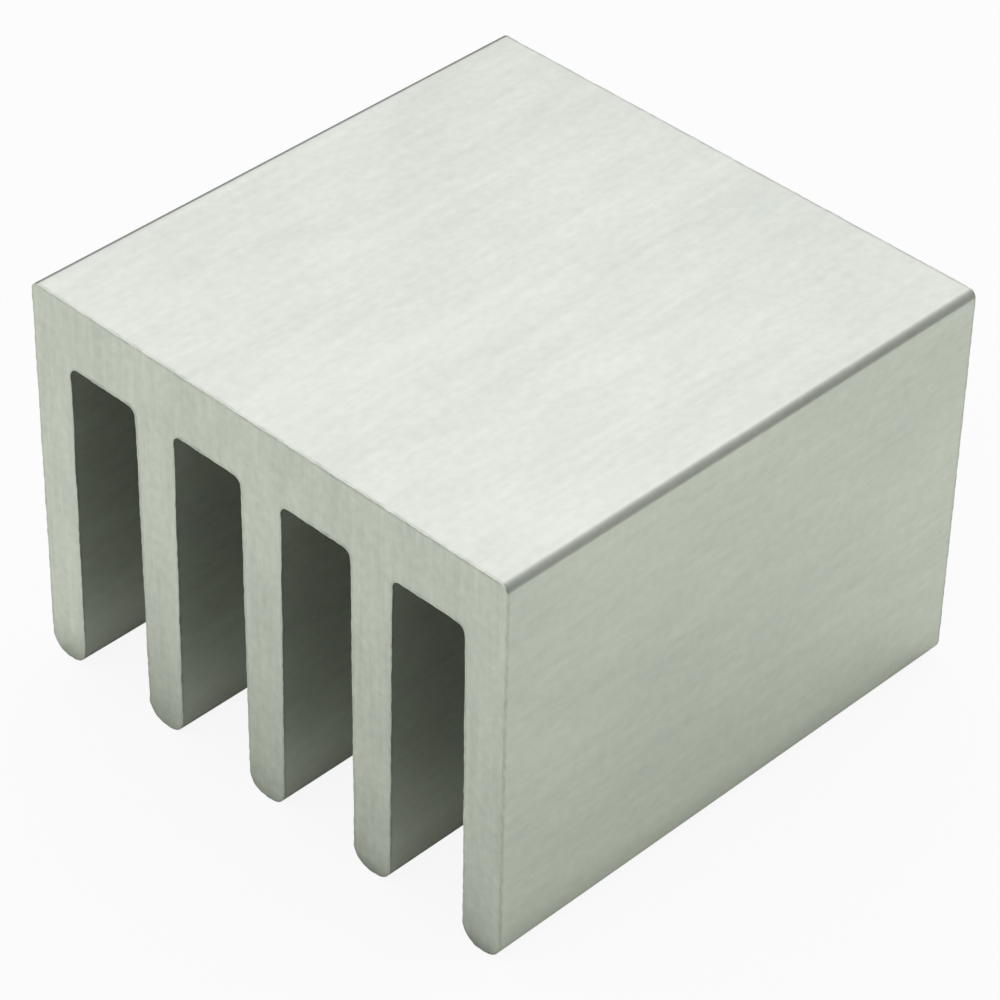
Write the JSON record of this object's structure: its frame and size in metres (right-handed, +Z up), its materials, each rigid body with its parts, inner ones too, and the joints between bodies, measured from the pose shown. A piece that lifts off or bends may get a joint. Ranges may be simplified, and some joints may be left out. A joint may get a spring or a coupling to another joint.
{
  "type": "extruded heat sink",
  "caption": "Square piece cut from an extruded aluminium bar: a flat base plate with straight parallel fins, bonded to a chip to carry its heat into the air.",
  "frame": {"origin": "centre of the footprint, in the plane of the fin tips that it stands on", "axes": "+Z up from the fin tips to the base face, +X across the fins, +Y along the fins and the bar"},
  "size_m": [0.021, 0.021, 0.015],
  "materials": {
    "mill_aluminium": "bare mill finish with fine die lines along the fins, and sawn ends"
  },
  "bodies": {
    "root": {"heat_sink": "mill_aluminium"}
  },
  "joints": []
}
